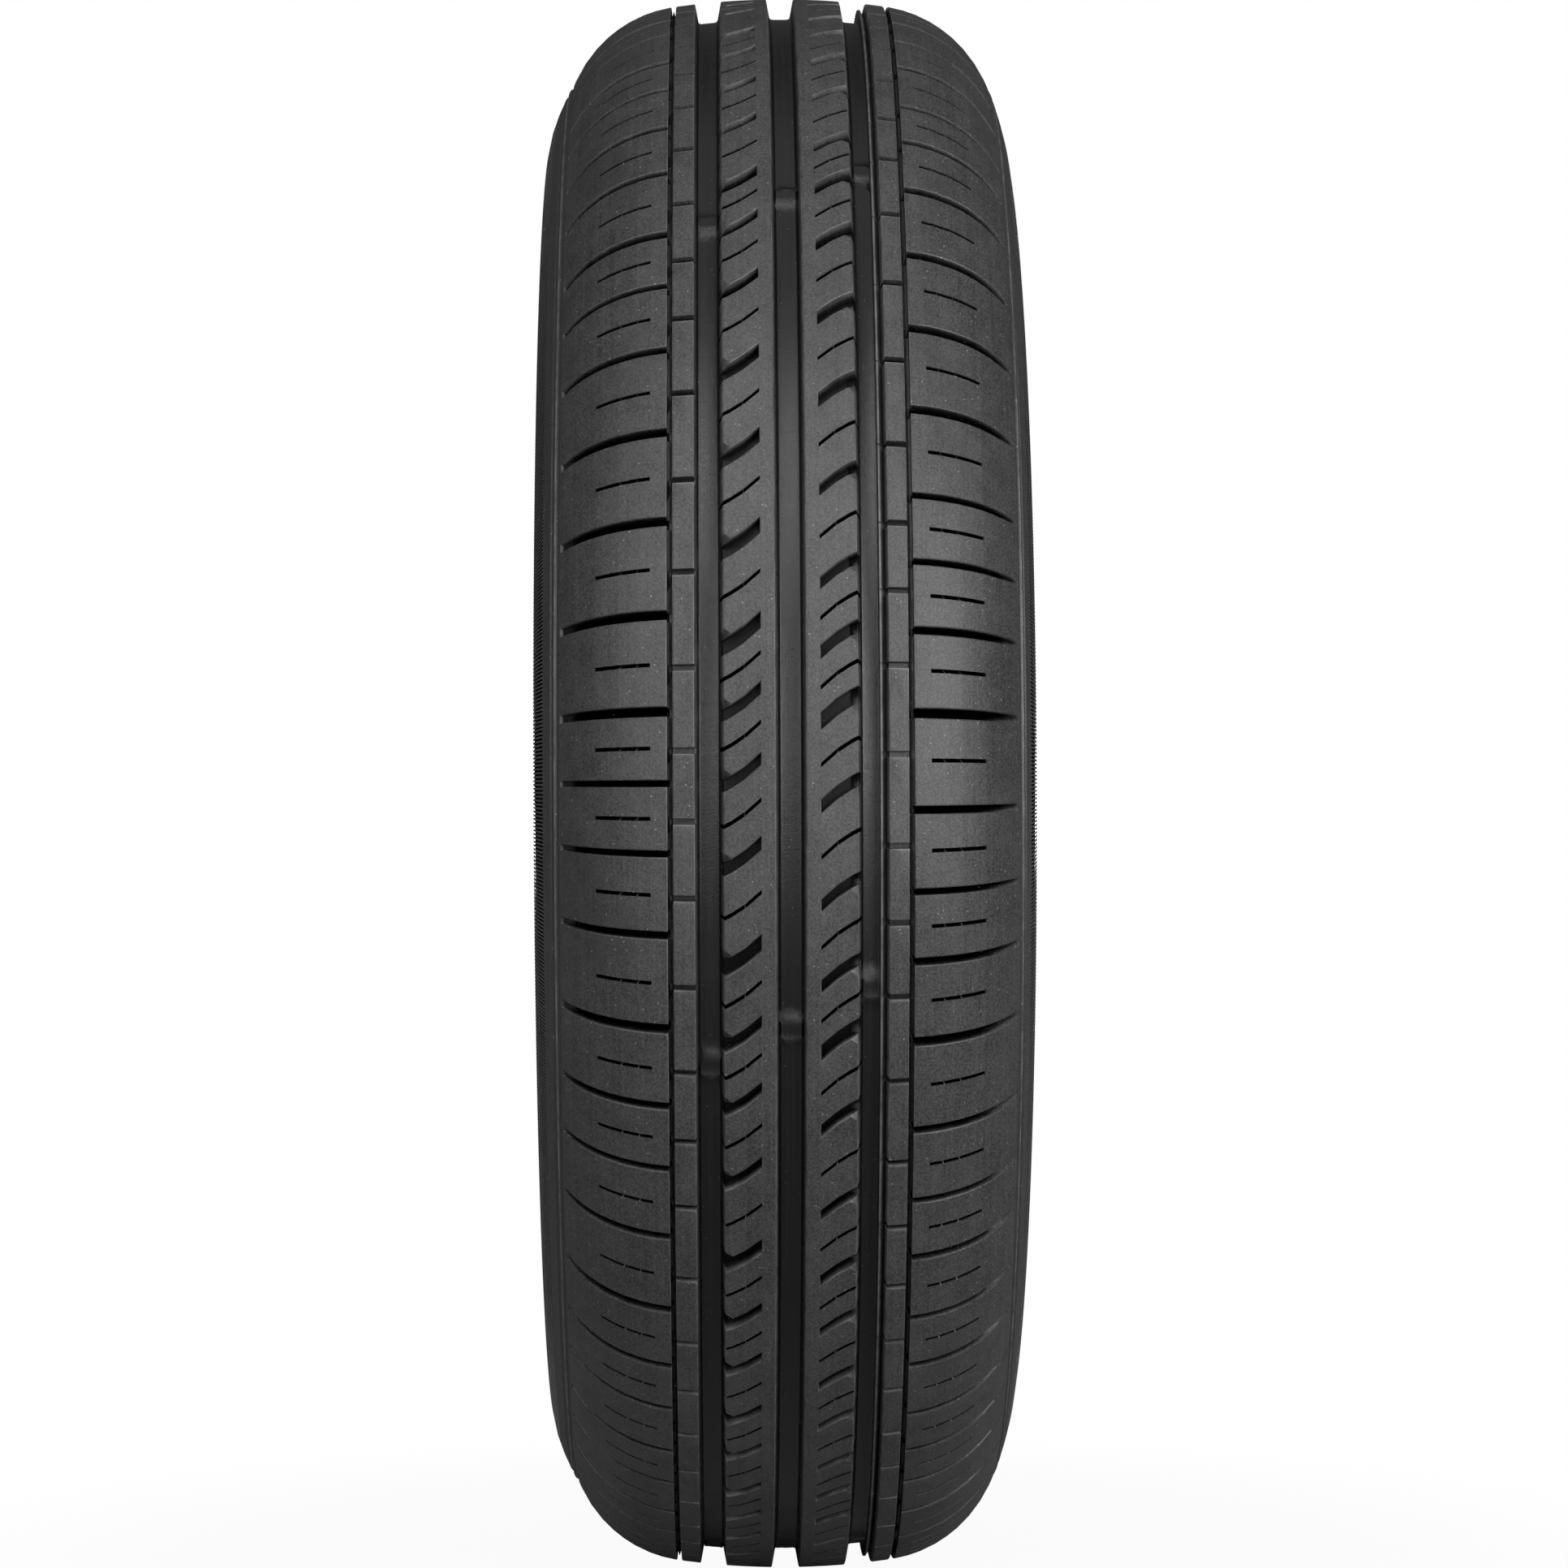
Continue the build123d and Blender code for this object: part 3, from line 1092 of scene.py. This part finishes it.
def studio_world():
    """A world that is dim to the tyre and white to the camera."""
    world = bpy.data.worlds.new("studio")
    bpy.context.scene.world = world
    make = Shading(world)
    rays = make.add("ShaderNodeLightPath").outputs
    seen = make.math("MAXIMUM", rays["Is Camera Ray"], rays["Is Transmission Ray"])
    seen = make.math("MAXIMUM", seen, make.math("MULTIPLY", rays["Is Glossy Ray"], world_gloss))
    dim = make.add("ShaderNodeBackground", Color=white, Strength=world_strength)
    bright = make.add("ShaderNodeBackground", Color=white, Strength=1.0)
    make.show("ShaderNodeOutputWorld", make.mix(seen, dim, bright))


def soft_light(name, height, turn, distance, size, power):
    """A square soft light that faces the tyre's middle, placed by its angles upwards and to the right."""
    rise = math.radians(height)
    aside = math.radians(turn)
    data = bpy.data.lights.new(name, "AREA")
    data.size = size
    data.energy = power
    lamp = new_object(name, data)
    back = Vector((math.cos(rise) * math.cos(aside), math.cos(rise) * math.sin(aside), math.sin(rise)))
    lamp.location = distance * back
    lamp.rotation_mode = "QUATERNION"
    lamp.rotation_quaternion = back.to_track_quat("Z", "Y")


def photo_camera():
    """The camera square to the tread, turned and rolled by the small angles that the outline gives."""
    turn = math.radians(camera_turn)
    roll = math.radians(camera_roll)
    data = bpy.data.cameras.new("camera")
    data.sensor_width = sensor_width
    data.lens = focal_pixels / frame_pixels * sensor_width
    data.shift_x = (frame_pixels / 2 - middle_x) / frame_pixels
    data.shift_y = (middle_y - frame_pixels / 2) / frame_pixels
    pose = Matrix.Rotation(-turn, 4, "Z") @ Matrix.Rotation(-roll, 4, "X")
    pose = pose @ Matrix.Translation((camera_distance, 0, 0))
    facing = Matrix(((0, 0, 1, 0), (1, 0, 0, 0), (0, 1, 0, 0), (0, 0, 0, 1)))
    camera = new_object("camera", data)
    camera.matrix_world = pose @ facing
    bpy.context.scene.camera = camera


def tyre_pieces():
    """The rubber tyre, which stands for the CAD tyre, and the fine ribs on its sidewalls."""
    rubber = rubber_material()
    for mesh in (tyre_mesh(), rib_mesh()):
        mesh.materials.append(rubber)
        piece = new_object(mesh.name, mesh)
        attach(piece, "root")
        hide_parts("tyre")


photo_camera()
tyre_pieces()
pale_floor()
studio_world()
for light in lights:
    soft_light(*light)
bpy.context.scene.view_settings.view_transform = "Standard"
